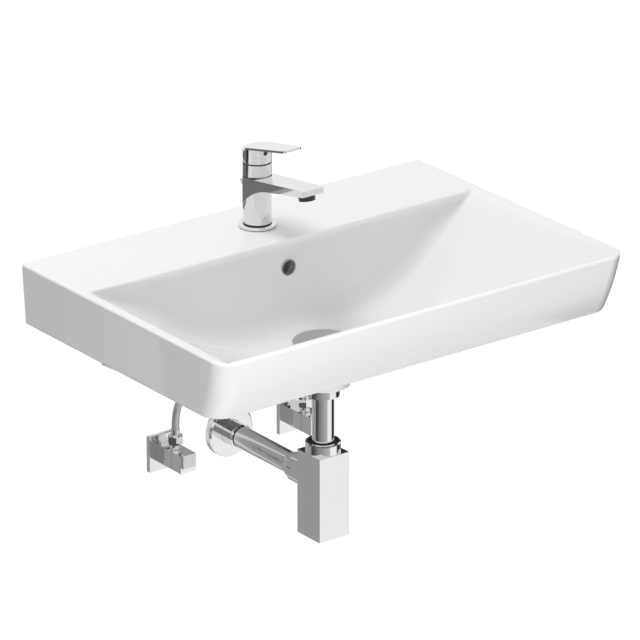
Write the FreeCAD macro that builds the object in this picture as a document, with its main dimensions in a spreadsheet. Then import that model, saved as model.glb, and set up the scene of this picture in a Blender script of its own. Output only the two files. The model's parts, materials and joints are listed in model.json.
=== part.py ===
# Wall-hung washbasin with a single-lever tap, pop-up waste, square bottle trap and two angle valves.
# Millimetres. +Z is up, +Y points into the wall, and the origin lies midway between the wall fixings.
import FreeCAD, Part
import math
import os
import Sketcher
from types import SimpleNamespace
from FreeCAD import Placement, Rotation, Vector

SIZES = {
    # Fits shared by many pieces
    "clearance": 0.3, "running_gap": 0.05, "thread_gap": 0.1, "overrun": 3,
    # Basin outside
    "rim_rise": 52, "basin_width": 700, "basin_depth": 475, "apron_drop": 92, "side_draft": 5,
    "front_lean": 30, "front_radius": 300, "corner_radius": 30, "rim_round": 4, "apron_round": 4,
    "basin_wall": 12, "rear_wall": 14,
    # Bowl
    "deck_front": 144, "front_land": 8, "side_land": 14, "bowl_fall": 129, "bowl_floor_half": 60,
    "floor_ahead": 119, "side_run": 179, "back_run": 16, "back_valley": 34, "front_valley": 55,
    "valley_top": 3, "bowl_rim_round": 3, "shoulder_dip": 1.3, "shoulder_tilt": 8, "shoulder_run": 6.5,
    # Openings in the basin
    "tap_from_wall": 76, "tap_hole_radius": 17.5, "fixing_spacing": 280, "fixing_radius": 7,
    "drain_from_wall": 230, "drain_bore": 23, "drain_boss_radius": 38, "drain_boss_drop": 190,
    "overflow_radius": 12, "overflow_drop": 41, "overflow_lip": 1.2, "overflow_ring_depth": 8,
    # Overflow duct behind the bowl
    "duct_half": 28, "duct_depth": 22, "duct_top": 20, "duct_bottom": 172, "duct_wall": 8,
    "duct_slant": 20,
    # Casting lugs under the side skirts
    "lug_rear": 179, "lug_front": 220, "lug_drop": 3.5,
    # Tap
    "gasket_thick": 1, "flange_radius": 27, "flange_high": 4, "flange_chamfer": 1.2, "flange_bore": 18,
    "tap_radius": 20.4, "tap_groove": 0.8, "tap_groove_high": 1.2, "seam_rise": 97.6,
    "tap_cavity": 17.2, "tap_cavity_rise": 34, "cartridge_seat_rise": 60,
    # Spout
    "spout_radius": 20.9, "spout_reach": 134.5, "spout_tip_half": 18.2, "spout_top_rise": 75,
    "spout_tip_rise": 94, "spout_tip_thick": 10, "spout_tip_slant": 3.5, "spout_heel_rise": 8,
    "spout_knee_reach": 52, "spout_knee_rise": 69, "spout_arch_radius": 100, "spout_corner": 5,
    # Aerator
    "aerator_reach": 117, "aerator_radius": 12, "aerator_high": 13, "aerator_drop": 5.5,
    "aerator_tilt": 10.5, "aerator_wall": 1.5, "aerator_recess": 0.8,
    # Cartridge
    "cartridge_radius": 17, "cartridge_high": 30, "cartridge_wall": 3, "cartridge_floor": 4,
    "disc_radius": 13.5, "disc_thick": 4, "carrier_base": 8, "carrier_neck": 9, "fork_top": 103,
    "fork_slot_half": 3, "fork_slot_floor": 91, "pivot_rise": 97.5, "pin_radius": 2, "pin_half": 8.6,
    "nut_high": 6, "nut_bore": 10, "stem_eye": 5.5, "stem_half": 2.75, "stem_deep_half": 3.5,
    "stem_top": 117,
    # Lever
    "seam_gap": 0.4, "lever_top_rise": 121, "lever_tilt": 12, "lever_reach": 85, "lever_tip_half": 17,
    "lever_thick": 3.2, "lever_corner": 7, "lever_cavity": 15.5, "lever_roof_rise": 109,
    "relief_tilt": 26, "lever_screw_rise": 114, "lever_screw_radius": 2.5, "lever_screw_long": 12,
    "plug_button_radius": 3.5, "plug_button_deep": 2.5,
    # Tap fixing under the deck
    "stud_radius": 4, "stud_offset": 12, "stud_long": 95, "stud_in_body": 26, "pad_radius": 24,
    "pad_thick": 2, "clamp_thick": 4, "clamp_mouth_half": 17, "clamp_mouth_front": 6.5,
    "stud_nut_flat": 13, "stud_nut_high": 8,
    # Hoses
    "hose_radius": 5.5, "hose_offset": 10.5, "ferrule_radius": 6.2, "ferrule_long": 10,
    "tail_radius": 4.6, "tail_in_body": 12, "hose_top": 6, "hose_nut_flat": 20,
    "hose_nut_high": 12,
    # Lift rod behind the tap
    "lift_tilt": 15, "lift_offset": 13.5, "lift_radius": 2.5, "knob_radius": 7, "knob_high": 14,
    "knob_top": 63, "knob_crown": 1, "knob_wall": 0.6, "lift_bottom": 189,
    "strap_half": 6, "strap_thick": 1.5, "strap_block_high": 14, "strap_block_deep": 9,
    "strap_top": 183, "strap_bottom": 211, "pivot_play": 0.8,
    "strap_screw_radius": 2, "strap_head_radius": 4, "strap_head_high": 3,
    # Pop-up waste
    "cap_radius": 43, "cap_thick": 2.2, "cap_dome": 0.8, "cap_lift": 1.2, "seal_radius": 22,
    "waste_flange_radius": 32, "waste_flange_thick": 2.7, "waste_gasket": 1.5, "waste_tube": 19.9,
    "waste_throat": 17.5, "waste_tube_drop": 186, "overflow_slot_half": 6, "overflow_slot_top": 150,
    "overflow_slot_bottom": 162, "lower_gasket": 2, "waste_body_radius": 24, "waste_body_drop": 207,
    "waste_sleeve": 22.5, "waste_sleeve_drop": 168, "waste_chamber": 19.5,
    "stem_radius": 4, "eye_radius": 7, "eye_thick": 3,
    # Ball pivot at the rear of the waste body
    "pivot_drop": 200, "ball_radius": 5.5, "ball_offset": 36, "pivot_radius": 2.5, "pivot_tip": 4,
    "pivot_past_strap": 8, "port_radius": 7.6, "port_long": 7, "port_throat": 5,
    "port_nut_radius": 9.4, "port_nut_lip": 3, "port_nut_gap": 1.2, "port_seat": 1.4,
    # Trap
    "pipe_radius": 16, "pipe_wall": 1.2, "pipe_socket": 3.5, "dip_drop": 385, "collar_top": 277.4,
    "collar_radius": 25.5, "box_top": 292.7, "box_bottom": 420.6, "box_side": 52.4, "box_wall": 2.4,
    "box_edge": 0.8, "neck_radius": 21, "neck_high": 9, "collar_chamfer": 1.5, "collar_seal_radius": 20,
    "cleanout_thick": 5, "cleanout_lip": 3.2, "cleanout_seal": 2,
    # Trap outlet
    "outlet_drop": 338, "spigot_radius": 19.4, "spigot_long": 16, "outlet_nut_radius": 22.5,
    "outlet_nut_long": 32, "outlet_cone_long": 17, "outlet_cone_end": 17, "outlet_seal_long": 6,
    "outlet_pipe_start": 12, "sleeve_radius": 18.2, "sleeve_long": 24, "sleeve_chamfer": 1.5,
    "rosette_radius": 38.8, "rosette_thick": 12, "rosette_edge": 2.5, "stub_long": 25,
    "stub_groove": 0.6, "stub_groove_long": 2,
    # Angle valves
    "valve_offset": 115.7, "valve_drop": 340, "plate_wide": 54, "plate_high": 55, "plate_thick": 7,
    "plate_edge": 1, "bar_side": 27, "bar_body_long": 34.7, "bar_long": 58, "bar_edge": 0.8,
    "handle_gap": 0.4, "inlet_radius": 10.48, "inlet_long": 14, "inlet_groove": 0.9,
    "inlet_groove_long": 1.5, "neck_offset": 27, "valve_neck": 7.5,
    "neck_show": 8, "neck_in_nut": 5.5, "spindle_radius": 6, "spindle_in_body": 14,
    "spindle_in_handle": 16,
}

# Hand-chosen points of a hose from its valve to the tap, as shares of the way across and of the way up
HOSE_SHARES = [(0, 0), (0, 0.08), (0.086, 0.159), (0.331, 0.254), (0.672, 0.406), (0.918, 0.604),
               (1, 0.802), (1, 1)]
# Share of the shorter run that a bend of the hose takes on each side of its corner
BEND_SHARE = 0.45

doc = FreeCAD.newDocument("washbasin")
sheet = doc.addObject("Spreadsheet::Sheet", "Sizes")
for row, (alias, number) in enumerate(SIZES.items(), start=1):
    sheet.set(f"A{row}", str(number))
    sheet.setAlias(f"A{row}", alias)
doc.recompute()


class Size:
    """A number together with the sheet formula that it comes from."""

    def __init__(self, number, formula):
        self.number = number
        self.formula = formula

    def joined(self, sign, other, number):
        return Size(number, f"({self.formula} {sign} {as_size(other).formula})")

    def __add__(self, other):
        return self.joined("+", other, self.number + as_size(other).number)

    def __sub__(self, other):
        return self.joined("-", other, self.number - as_size(other).number)

    def __mul__(self, other):
        return self.joined("*", other, self.number * as_size(other).number)

    def __truediv__(self, other):
        return self.joined("/", other, self.number / as_size(other).number)

    def __rsub__(self, other):
        return as_size(other) - self

    def __neg__(self):
        return Size(-self.number, f"(-1 * {self.formula})")

    __radd__ = __add__
    __rmul__ = __mul__


def as_size(value):
    return value if isinstance(value, Size) else Size(float(value), repr(float(value)))


def root(area):
    return Size(math.sqrt(area.number), f"sqrt({area.formula})")


def tangent(angle):
    return Size(math.tan(math.radians(angle.number)), f"tan({angle.formula})")


def cosine(angle):
    return Size(math.cos(math.radians(angle.number)), f"cos({angle.formula})")


S = SimpleNamespace(**{alias: Size(float(sheet.get(alias)), f"Sizes.{alias}") for alias in SIZES})

ABOUT_X = Rotation(Vector(1, 0, 0), 90)
TOWARDS_WALL = Rotation(Vector(1, 0, 0), -90)
ALONG_X = Rotation(Vector(0, 1, 0), 90)
TAP_Y = -S.tap_from_wall
DRAIN_Y = -S.drain_from_wall
RIM_Z = S.rim_rise
parts = {}


def keep(name, thing):
    """Name a finished sub-part."""
    thing.Label = name
    parts[name] = thing
    return thing


def bind(thing, **sizes):
    for prop, value in sizes.items():
        thing.setExpression(prop, as_size(value).formula)
    return thing


def put(thing, x=0, y=0, z=0, turn=None):
    """Place an object at bound coordinates, with a fixed turn."""
    if turn:
        thing.Placement = Placement(Vector(), turn)
    for axis, value in zip("xyz", (x, y, z)):
        thing.setExpression(f"Placement.Base.{axis}", as_size(value).formula)
    return thing


def lean(thing, x, y, z, axis, angle):
    """Place an object turned by a bound angle about an axis."""
    thing.Placement = Placement(Vector(), Rotation(axis, angle.number))
    thing.setExpression("Placement.Rotation.Angle", angle.formula)
    return put(thing, x, y, z)


def arc_between(start, end, radius):
    """The shorter arc from start to end: a positive radius turns left, a negative one right."""
    chord = end - start
    left = Vector(-chord.y, chord.x, 0).normalize() * math.copysign(1, radius)
    rise = math.sqrt(radius ** 2 - (chord.Length / 2) ** 2)
    centre = (start + end) / 2 + left * rise
    first, last = (start, end) if radius > 0 else (end, start)
    angles = [math.atan2(p.y - centre.y, p.x - centre.x) for p in (first, last)]
    return Part.ArcOfCircle(Part.Circle(centre, Vector(0, 0, 1), abs(radius)), *angles)


def draw(sketch, corners):
    """Draw a closed outline. A corner is (across, up), or (across, up, radius) before an arc."""
    spots = [Vector(as_size(c[0]).number, as_size(c[1]).number, 0) for c in corners]
    shapes, ends, rules, formulas = [], [], [], []
    for i, corner in enumerate(corners):
        start, end = spots[i], spots[(i + 1) % len(spots)]
        if len(corner) == 2:
            shapes.append(Part.LineSegment(start, end))
            ends.append((1, 2))
        else:
            shapes.append(arc_between(start, end, as_size(corner[2]).number))
            ends.append((1, 2) if as_size(corner[2]).number > 0 else (2, 1))
    sketch.addGeometry(shapes, False)
    for i, corner in enumerate(corners):
        follower = (i + 1) % len(corners)
        rules.append(Sketcher.Constraint("Coincident", i, ends[i][1], follower, ends[follower][0]))
        for kind, value in (("DistanceX", corner[0]), ("DistanceY", corner[1])):
            value = as_size(value)
            formulas.append((len(rules), value.formula))
            rules.append(Sketcher.Constraint(kind, -1, 1, i, ends[i][0], value.number))
        if len(corner) == 3:
            radius = as_size(corner[2])
            radius = radius if radius.number > 0 else -radius
            formulas.append((len(rules), radius.formula))
            rules.append(Sketcher.Constraint("Radius", i, radius.number))
    sketch.addConstraint(rules)
    for index, formula in formulas:
        sketch.setExpression(f"Constraints[{index}]", formula)


def sketch_in(body, role, corners):
    plane = next(f for f in body.Origin.OriginFeatures if f.Role == role)
    sketch = body.newObject("Sketcher::SketchObject", "Outline")
    sketch.AttachmentSupport = [(plane, "")]
    sketch.MapMode = "FlatFace"
    draw(sketch, corners)
    doc.recompute()
    return sketch


def turned(name, corners):
    """A body revolved about its own Z axis from corners given as (radius, height)."""
    body = doc.addObject("PartDesign::Body", name)
    sketch = sketch_in(body, "XZ_Plane", corners)
    feature = body.newObject("PartDesign::Revolution", "Turn")
    feature.Profile = sketch
    feature.ReferenceAxis = (sketch, ["V_Axis"])
    feature.Angle = 360
    return body


def padded(name, role, corners, length, middle=True):
    """A body padded from an outline in one of its origin planes."""
    body = doc.addObject("PartDesign::Body", name)
    sketch = sketch_in(body, role, corners)
    feature = body.newObject("PartDesign::Pad", "Pad")
    feature.Profile = sketch
    feature.Midplane = middle
    return bind_in(body, feature, Length=length)


def bind_in(body, feature, **sizes):
    bind(feature, **sizes)
    return body


def ring(name, inner, outer, low, high):
    return turned(name, [(inner, low), (outer, low), (outer, high), (inner, high)])


def rod(name, radius, length):
    return bind(doc.addObject("Part::Cylinder", name), Radius=radius, Height=length)


def block(name, across, deep, high):
    """A box centred on its own X and Y, standing on z = 0."""
    half, back = across / 2, deep / 2
    outline = [(-half, -back), (half, -back), (half, back), (-half, back)]
    return padded(name, "XY_Plane", outline, high, middle=False)


def joined(name, things):
    thing = doc.addObject("Part::MultiFuse", name)
    thing.Shapes = things
    thing.Refine = True
    return thing


def shared(name, things):
    thing = doc.addObject("Part::MultiCommon", name)
    thing.Shapes = things
    return thing


def cut(name, base, tools):
    thing = doc.addObject("Part::Cut", name)
    thing.Base = base
    thing.Tool = tools[0] if len(tools) == 1 else joined(f"{name}_tools", tools)
    thing.Refine = True
    return thing


def group(name, things):
    thing = doc.addObject("Part::Compound", name)
    thing.Links = things
    return thing


def rounded(name, base, radius, chosen):
    """Round the edges that the chosen test accepts, by one size or by a radius at each end."""
    doc.recompute()
    radius_at = radius if callable(radius) else lambda spot: radius.number
    thing = doc.addObject("Part::Fillet", name)
    thing.Base = base
    picked = []
    for i, edge in enumerate(base.Shape.Edges, start=1):
        if chosen(edge):
            first, last = (edge.valueAt(p) for p in (edge.FirstParameter, edge.LastParameter))
            picked.append((i, radius_at(first), radius_at(last)))
    thing.Edges = picked
    return thing


def hexagon(flat):
    """Corners of a hexagon given its size across flats."""
    corner_shares = [(math.cos(math.radians(a)), math.sin(math.radians(a))) for a in range(0, 360, 60)]
    reach = flat / 2 / math.cos(math.radians(30))
    return [(reach * x, reach * y) for x, y in corner_shares]


def ends_of(edge):
    return [v.Point for v in edge.Vertexes]


# Basin
def basin_blank():
    """The outer block: side view with the leaning front, crossed with the drafted end view."""
    half = S.basin_width / 2
    foot = half - S.side_draft
    side = padded("basin_side", "YZ_Plane", [
        (0, 0), (0, -S.apron_drop), (-(S.basin_depth - S.front_lean), -S.apron_drop, -S.front_radius),
        (-S.basin_depth, 0)], S.basin_width)
    end = padded("basin_end", "XZ_Plane", [
        (-half, 0), (-foot, -S.apron_drop), (foot, -S.apron_drop), (half, 0)],
        (S.basin_depth + S.overrun) * 2)
    blank = shared("basin_blank", [side, end])
    back = -(S.basin_depth - S.front_lean).number

    def front_corner(edge):
        spots = ends_of(edge)
        high = max(p.z for p in spots) - min(p.z for p in spots)
        forward = max(p.y for p in spots) < back + S.front_lean.number / 4
        return forward and high > S.apron_drop.number / 2

    blank = rounded("basin_corners", blank, S.corner_radius, front_corner)

    def level_edge(height):
        def chosen(edge):
            spots = ends_of(edge) + [edge.valueAt((edge.FirstParameter + edge.LastParameter) / 2)]
            near = all(abs(p.z - height) < S.clearance.number for p in spots)
            return near and min(p.y for p in spots) < -S.clearance.number
        return chosen

    blank = rounded("basin_rim", blank, S.rim_round, level_edge(0))
    return rounded("basin_foot", blank, S.apron_round, level_edge(-S.apron_drop.number))


def shoulder(reach, slant, top):
    """The soft turn from a side ramp to the rim: an arc, a nearly level line and the way up past the rim."""
    dip_x = reach - S.shoulder_dip * S.side_run / S.bowl_fall
    end_x = dip_x + (S.shoulder_dip + S.clearance) / tangent(S.shoulder_tilt)
    level = cosine(S.shoulder_tilt)
    rise = level * tangent(S.shoulder_tilt)
    ramp_level = S.side_run / slant
    ramp_rise = S.bowl_fall / slant
    turn_cosine = ramp_level * level + ramp_rise * rise
    turn_sine = ramp_rise * level - ramp_level * rise
    radius = S.shoulder_run * turn_sine / (1 - turn_cosine)
    return [(dip_x - S.shoulder_run * ramp_level, -S.shoulder_dip - S.shoulder_run * ramp_rise, -radius),
            (dip_x + S.shoulder_run * level, S.shoulder_run * rise - S.shoulder_dip),
            (end_x, S.clearance), (end_x, top)]


def bowl_form(name, wall, top):
    """The bowl's hollow, or the belly around it when wall is more than nothing."""
    fall = S.bowl_fall + wall
    slant = root(S.side_run * S.side_run + S.bowl_fall * S.bowl_fall)
    reach = S.basin_width / 2 - S.side_land
    foot = reach - S.side_run
    bend = foot - S.bowl_floor_half
    radius = bend * S.bowl_fall / (slant - S.side_run) + wall
    ramp_x = foot + bend * S.side_run / slant + wall * S.bowl_fall / slant
    ramp_z = bend * S.bowl_fall / slant - S.bowl_fall - wall * S.side_run / slant
    brow = [(ramp_x + (top - ramp_z) * S.side_run / S.bowl_fall, top)]
    if wall.number == 0:
        brow = shoulder(reach, slant, top)
    right = [(S.bowl_floor_half, -fall, radius), (ramp_x, ramp_z), *brow]
    left = [(-brow[-1][0], top), (-ramp_x, ramp_z, radius), (-S.bowl_floor_half, -fall)]
    if wall.number == 0:
        left[1:1] = [(-brow[2][0], brow[2][1]), (-brow[1][0], brow[1][1], brow[0][2]),
                     (-brow[0][0], brow[0][1])]
    trough = padded(f"{name}_trough", "XZ_Plane", [*left, *right], (S.basin_depth + S.overrun) * 2)
    back_slope = S.back_run / S.bowl_fall
    front_slope = (S.basin_depth - S.front_land - S.drain_from_wall - S.floor_ahead) / S.bowl_fall
    back = -S.deck_front + wall
    front = -(S.basin_depth - S.front_land) - wall
    length = padded(f"{name}_length", "YZ_Plane", [
        (back + back_slope * top, top), (front - front_slope * top, top),
        (front + front_slope * fall, -fall), (back - back_slope * fall, -fall)], S.basin_width * 2)
    form = shared(f"{name}_form", [trough, length])
    lowest = top.number - S.clearance.number

    def valley(at_back):
        edge_y, slope = (back, -back_slope) if at_back else (front, front_slope)

        def chosen(edge):
            spots = ends_of(edge)
            on_wall = all(abs(p.y - (edge_y - slope * p.z).number) < S.clearance.number for p in spots)
            return on_wall and max(p.z for p in spots) < lowest
        return chosen

    def widening(radius):
        """Small down to the head of the ramp and full where the ramp starts to bend."""
        head = as_size(brow[0][1])

        def at(spot):
            share = min(1, max(0, (head.number - spot.z) / (head - ramp_z).number))
            return S.valley_top.number + wall.number + share * (radius - S.valley_top).number
        return at

    form = rounded(f"{name}_back", form, widening(S.back_valley), valley(True))
    return rounded(f"{name}_front", form, widening(S.front_valley), valley(False))


def basin_core():
    """The open hollow under the deck and round the bowl."""
    lean_in = S.front_lean + S.basin_wall
    return padded("basin_core", "YZ_Plane", [
        (-S.rear_wall, -S.basin_wall), (-S.rear_wall, -(S.apron_drop + S.overrun)),
        (-(S.basin_depth - lean_in), -(S.apron_drop + S.overrun), -(S.front_radius - S.basin_wall)),
        (-(S.basin_depth - S.basin_wall), -S.basin_wall)],
        S.basin_width - (S.basin_wall + S.side_draft) * 2)


def overflow_duct(name, wall, half, front):
    """Side view of the duct from the overflow hole down to the drain boss, less a wall all round."""
    back = -S.deck_front + S.basin_wall
    rear = back + S.duct_depth - wall
    top = -(S.duct_top + wall)
    bottom = -(S.duct_bottom - wall)
    roof = -(S.bowl_fall + S.basin_wall / 2 + wall + S.overrun)
    inside = back - S.basin_wall / 3
    return padded(name, "YZ_Plane", [
        (inside, top), (rear, top), (rear, bottom + S.duct_slant), (rear - S.duct_slant, bottom),
        (front, bottom), (front, roof), (inside - S.back_run, roof)], half * 2)


def lug(side):
    outline = [(-S.lug_rear, -S.apron_drop + S.apron_round), (-S.lug_rear, -S.apron_drop - S.lug_drop),
               (-S.lug_front, -S.apron_drop), (-S.lug_front, -S.apron_drop + S.apron_round)]
    body = padded(f"lug_{side}", "YZ_Plane", outline, S.basin_wall / 2)
    return put(body, x=(S.basin_width / 2 - S.side_draft - S.basin_wall / 2) * side)


def make_basin():
    bowl = bowl_form("bowl", as_size(0), S.overrun * 2)
    belly = bowl_form("belly", S.basin_wall, S.overrun - S.basin_wall)
    boss_high = S.drain_boss_drop - S.bowl_fall - S.basin_wall / 2
    boss = put(rod("drain_boss", S.drain_boss_radius, boss_high), 0, DRAIN_Y, -S.drain_boss_drop)
    duct = overflow_duct("duct", as_size(0), S.duct_half, DRAIN_Y + S.drain_boss_radius - S.basin_wall)
    hollow = overflow_duct("duct_hollow", S.duct_wall, S.duct_half - S.duct_wall, DRAIN_Y)
    shell = cut("basin_shell", basin_blank(), [basin_core()])
    solid = joined("basin_solid", [shell, belly, boss, duct, lug(-1), lug(1)])
    drain = put(rod("drain_hole", S.drain_bore, S.drain_boss_drop),
                0, DRAIN_Y, -S.drain_boss_drop - S.overrun)
    sink = S.waste_flange_thick + S.waste_gasket - S.thread_gap
    seat = put(rod("drain_seat", S.waste_flange_radius + S.clearance, S.bowl_fall),
               0, DRAIN_Y, -S.bowl_fall - sink)
    tap_hole = put(rod("tap_hole", S.tap_hole_radius, S.basin_wall + S.overrun * 2),
                   0, TAP_Y, -S.basin_wall - S.overrun)
    overflow = put(rod("overflow_hole", S.overflow_radius, S.basin_wall * 3),
                   0, -S.deck_front - S.basin_wall * 2, -S.overflow_drop, TOWARDS_WALL)
    fixings = [put(rod(f"fixing_{side}", S.fixing_radius, S.rear_wall + S.overrun * 2),
                   S.fixing_spacing / 2 * side, -S.rear_wall - S.overrun, -S.rim_rise, TOWARDS_WALL)
               for side in (-1, 1)]
    bored = cut("basin_bored", solid, [bowl, hollow, drain, seat, tap_hole, overflow, *fixings])
    front = -(S.basin_depth - S.front_land).number
    across = (S.basin_width / 2 - S.rim_round).number

    def bowl_rim(edge):
        def at_bowl(spot):
            deep = front - S.clearance.number < spot.y < S.clearance.number - S.deck_front.number
            return deep and abs(spot.x) < across - S.clearance.number
        return all(abs(p.z) < S.clearance.number and at_bowl(p) for p in ends_of(edge))

    keep("basin", put(rounded("basin_finish", bored, S.bowl_rim_round, bowl_rim), z=RIM_Z))
    trim = S.overflow_radius - S.thread_gap
    lip = turned("overflow_trim", [(trim - S.overflow_lip, 0), (trim, 0), (trim, S.overflow_ring_depth),
                                   (trim - S.overflow_lip, S.overflow_ring_depth)])
    slope = S.back_run / S.bowl_fall
    face = -S.deck_front - slope * (S.overflow_drop + S.overflow_radius)
    keep("overflow_ring", put(lip, 0, face, RIM_Z - S.overflow_drop, TOWARDS_WALL))


# Tap
def plan_form(name, rear, reach, tip_half, corner, low, high):
    """A plan outline, round behind and blunt in front, raised between two heights."""
    body = padded(name, "XY_Plane", [
        (rear, 0, rear), (0, rear, rear), (-rear, 0), (-tip_half, corner - reach, corner),
        (corner - tip_half, -reach), (tip_half - corner, -reach, corner), (tip_half, corner - reach)],
        high - low, middle=False)
    return put(body, 0, TAP_Y, RIM_Z + low)


def in_tap(thing, rise=0, x=0, y=0, turn=None):
    return put(thing, x, TAP_Y + y, RIM_Z + rise, turn)


def spout_profile(name):
    top_slope = (S.spout_tip_rise - S.spout_top_rise) / S.spout_reach
    rear = S.spout_radius + S.overrun
    return in_tap(padded(name, "YZ_Plane", [
        (rear, S.spout_heel_rise, S.spout_arch_radius), (-S.spout_knee_reach, S.spout_knee_rise),
        (-(S.spout_reach - S.spout_tip_slant), S.spout_tip_rise - S.spout_tip_thick),
        (-S.spout_reach, S.spout_tip_rise), (rear, S.spout_top_rise - top_slope * rear)],
        S.spout_radius * 2 + S.overrun))


def aerator_place(thing):
    """Set a turned piece into the sloping underside of the spout tip."""
    run = S.spout_reach - S.spout_tip_slant - S.spout_knee_reach
    slope = (S.spout_tip_rise - S.spout_tip_thick - S.spout_knee_rise) / run
    rise = S.spout_knee_rise + slope * (S.aerator_reach - S.spout_knee_reach)
    return lean(thing, 0, TAP_Y - S.aerator_reach, RIM_Z + rise - S.aerator_drop,
                Vector(1, 0, 0), -S.aerator_tilt)


def lift_line(thing, rise):
    """Lay a turned piece along the leaning lift rod, from a height above the deck."""
    return lean(thing, 0, TAP_Y + S.lift_offset + tangent(S.lift_tilt) * rise, RIM_Z + rise,
                Vector(1, 0, 0), -S.lift_tilt)


def make_tap_body():
    foot = S.gasket_thick + S.flange_high
    waist = S.tap_radius - S.tap_groove
    edge = S.flange_radius - S.flange_chamfer
    keep("tap_gasket", in_tap(ring("gasket", S.flange_bore, edge, 0, S.gasket_thick)))
    keep("tap_base_ring", in_tap(turned("base_ring", [
        (S.flange_bore, S.gasket_thick), (S.flange_radius, S.gasket_thick),
        (S.flange_radius, foot - S.flange_chamfer), (edge, foot), (S.flange_bore, foot)])))
    column = in_tap(turned("tap_column", [
        (0, foot), (waist, foot), (waist, foot + S.tap_groove_high),
        (S.tap_radius, foot + S.tap_groove_high), (S.tap_radius, S.seam_rise), (0, S.seam_rise)]))
    plan = plan_form("spout_plan", S.spout_radius, S.spout_reach, S.spout_tip_half, S.spout_corner,
                     as_size(0), S.spout_tip_rise + S.overrun)
    spout = shared("spout", [spout_profile("spout_side"), plan])
    cavity = in_tap(rod("tap_cavity", S.tap_cavity, S.tap_cavity_rise))
    chamber_radius = S.cartridge_radius + S.thread_gap + S.thread_gap
    chamber = in_tap(rod("tap_chamber", chamber_radius, S.seam_rise), S.cartridge_seat_rise)
    channel = lift_line(rod("lift_channel", S.lift_radius + S.running_gap, S.knob_top), -S.overrun)
    roof = S.tap_cavity_rise - S.overrun
    sockets = [in_tap(rod(f"tail_socket_{side}", S.tail_radius + S.thread_gap, S.tail_in_body + S.overrun),
                      roof, S.hose_offset * side) for side in (-1, 1)]
    stud_hole = in_tap(rod("stud_socket", S.stud_radius + S.thread_gap, S.stud_in_body),
                       roof, y=-S.stud_offset)
    mouth = aerator_place(rod("aerator_socket", S.aerator_radius + S.thread_gap,
                              S.aerator_high + S.thread_gap))
    tools = [cavity, chamber, channel, *sockets, stud_hole, mouth]
    keep("tap_body", cut("tap_body", joined("tap_casting", [column, spout]), tools))


def make_aerator():
    bore = S.aerator_radius - S.aerator_wall
    housing = turned("aerator_shell", [
        (bore, 0), (S.aerator_radius, 0), (S.aerator_radius, S.aerator_high), (bore, S.aerator_high)])
    keep("aerator_housing", aerator_place(housing))
    insert = turned("aerator_core", [
        (0, S.aerator_recess), (bore - S.thread_gap, S.aerator_recess),
        (bore - S.thread_gap, S.aerator_high - S.aerator_recess), (0, S.aerator_high - S.aerator_recess)])
    keep("aerator_insert", aerator_place(insert))


def make_cartridge():
    seat = S.cartridge_seat_rise
    top = seat + S.cartridge_high
    inner = S.cartridge_radius - S.cartridge_wall
    roof = top - S.nut_high
    neck = S.carrier_neck + S.running_gap
    floor = seat + S.cartridge_floor
    keep("cartridge_housing", in_tap(turned("housing", [
        (0, seat), (S.cartridge_radius, seat), (S.cartridge_radius, top), (neck, top), (neck, roof),
        (inner, roof), (inner, floor), (0, floor)])))
    fixed_top = floor + S.disc_thick
    keep("cartridge_fixed_disc", in_tap(rod("fixed_disc", inner - S.running_gap, S.disc_thick), floor))
    moving = fixed_top + S.running_gap
    keep("cartridge_moving_disc", in_tap(rod("moving_disc", S.disc_radius, S.disc_thick), moving))
    base = moving + S.disc_thick
    post = in_tap(turned("carrier_post", [
        (0, base), (S.disc_radius, base), (S.disc_radius, base + S.carrier_base),
        (S.carrier_neck, base + S.carrier_base), (S.carrier_neck, S.fork_top), (0, S.fork_top)]))
    slot = in_tap(block("fork_slot", S.fork_slot_half * 2, S.carrier_neck * 4, S.fork_top),
                  S.fork_slot_floor)
    pin_hole = in_tap(rod("pin_hole", S.pin_radius, S.carrier_neck * 4),
                      S.pivot_rise, -S.carrier_neck * 2, turn=ALONG_X)
    keep("cartridge_carrier", cut("carrier", post, [slot, pin_hole]))
    pin = rod("pin", S.pin_radius, S.pin_half * 2)
    keep("cartridge_pin", in_tap(pin, S.pivot_rise, -S.pin_half, turn=ALONG_X))
    keep("cartridge_nut", in_tap(ring("clamp_nut", S.nut_bore, S.cartridge_radius, top, top + S.nut_high)))
    eye = in_tap(rod("stem_eye", S.stem_eye, S.stem_half * 2), S.pivot_rise, -S.stem_half, turn=ALONG_X)
    shaft = in_tap(block("stem_shaft", S.stem_half * 2, S.stem_deep_half * 2, S.stem_top - S.pivot_rise),
                   S.pivot_rise)
    bore = in_tap(rod("stem_bore", S.pin_radius + S.running_gap, S.stem_half * 4), S.pivot_rise,
                  -S.stem_half * 2, turn=ALONG_X)
    keep("cartridge_stem", cut("stem", joined("stem_blank", [eye, shaft]), [bore]))


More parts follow.
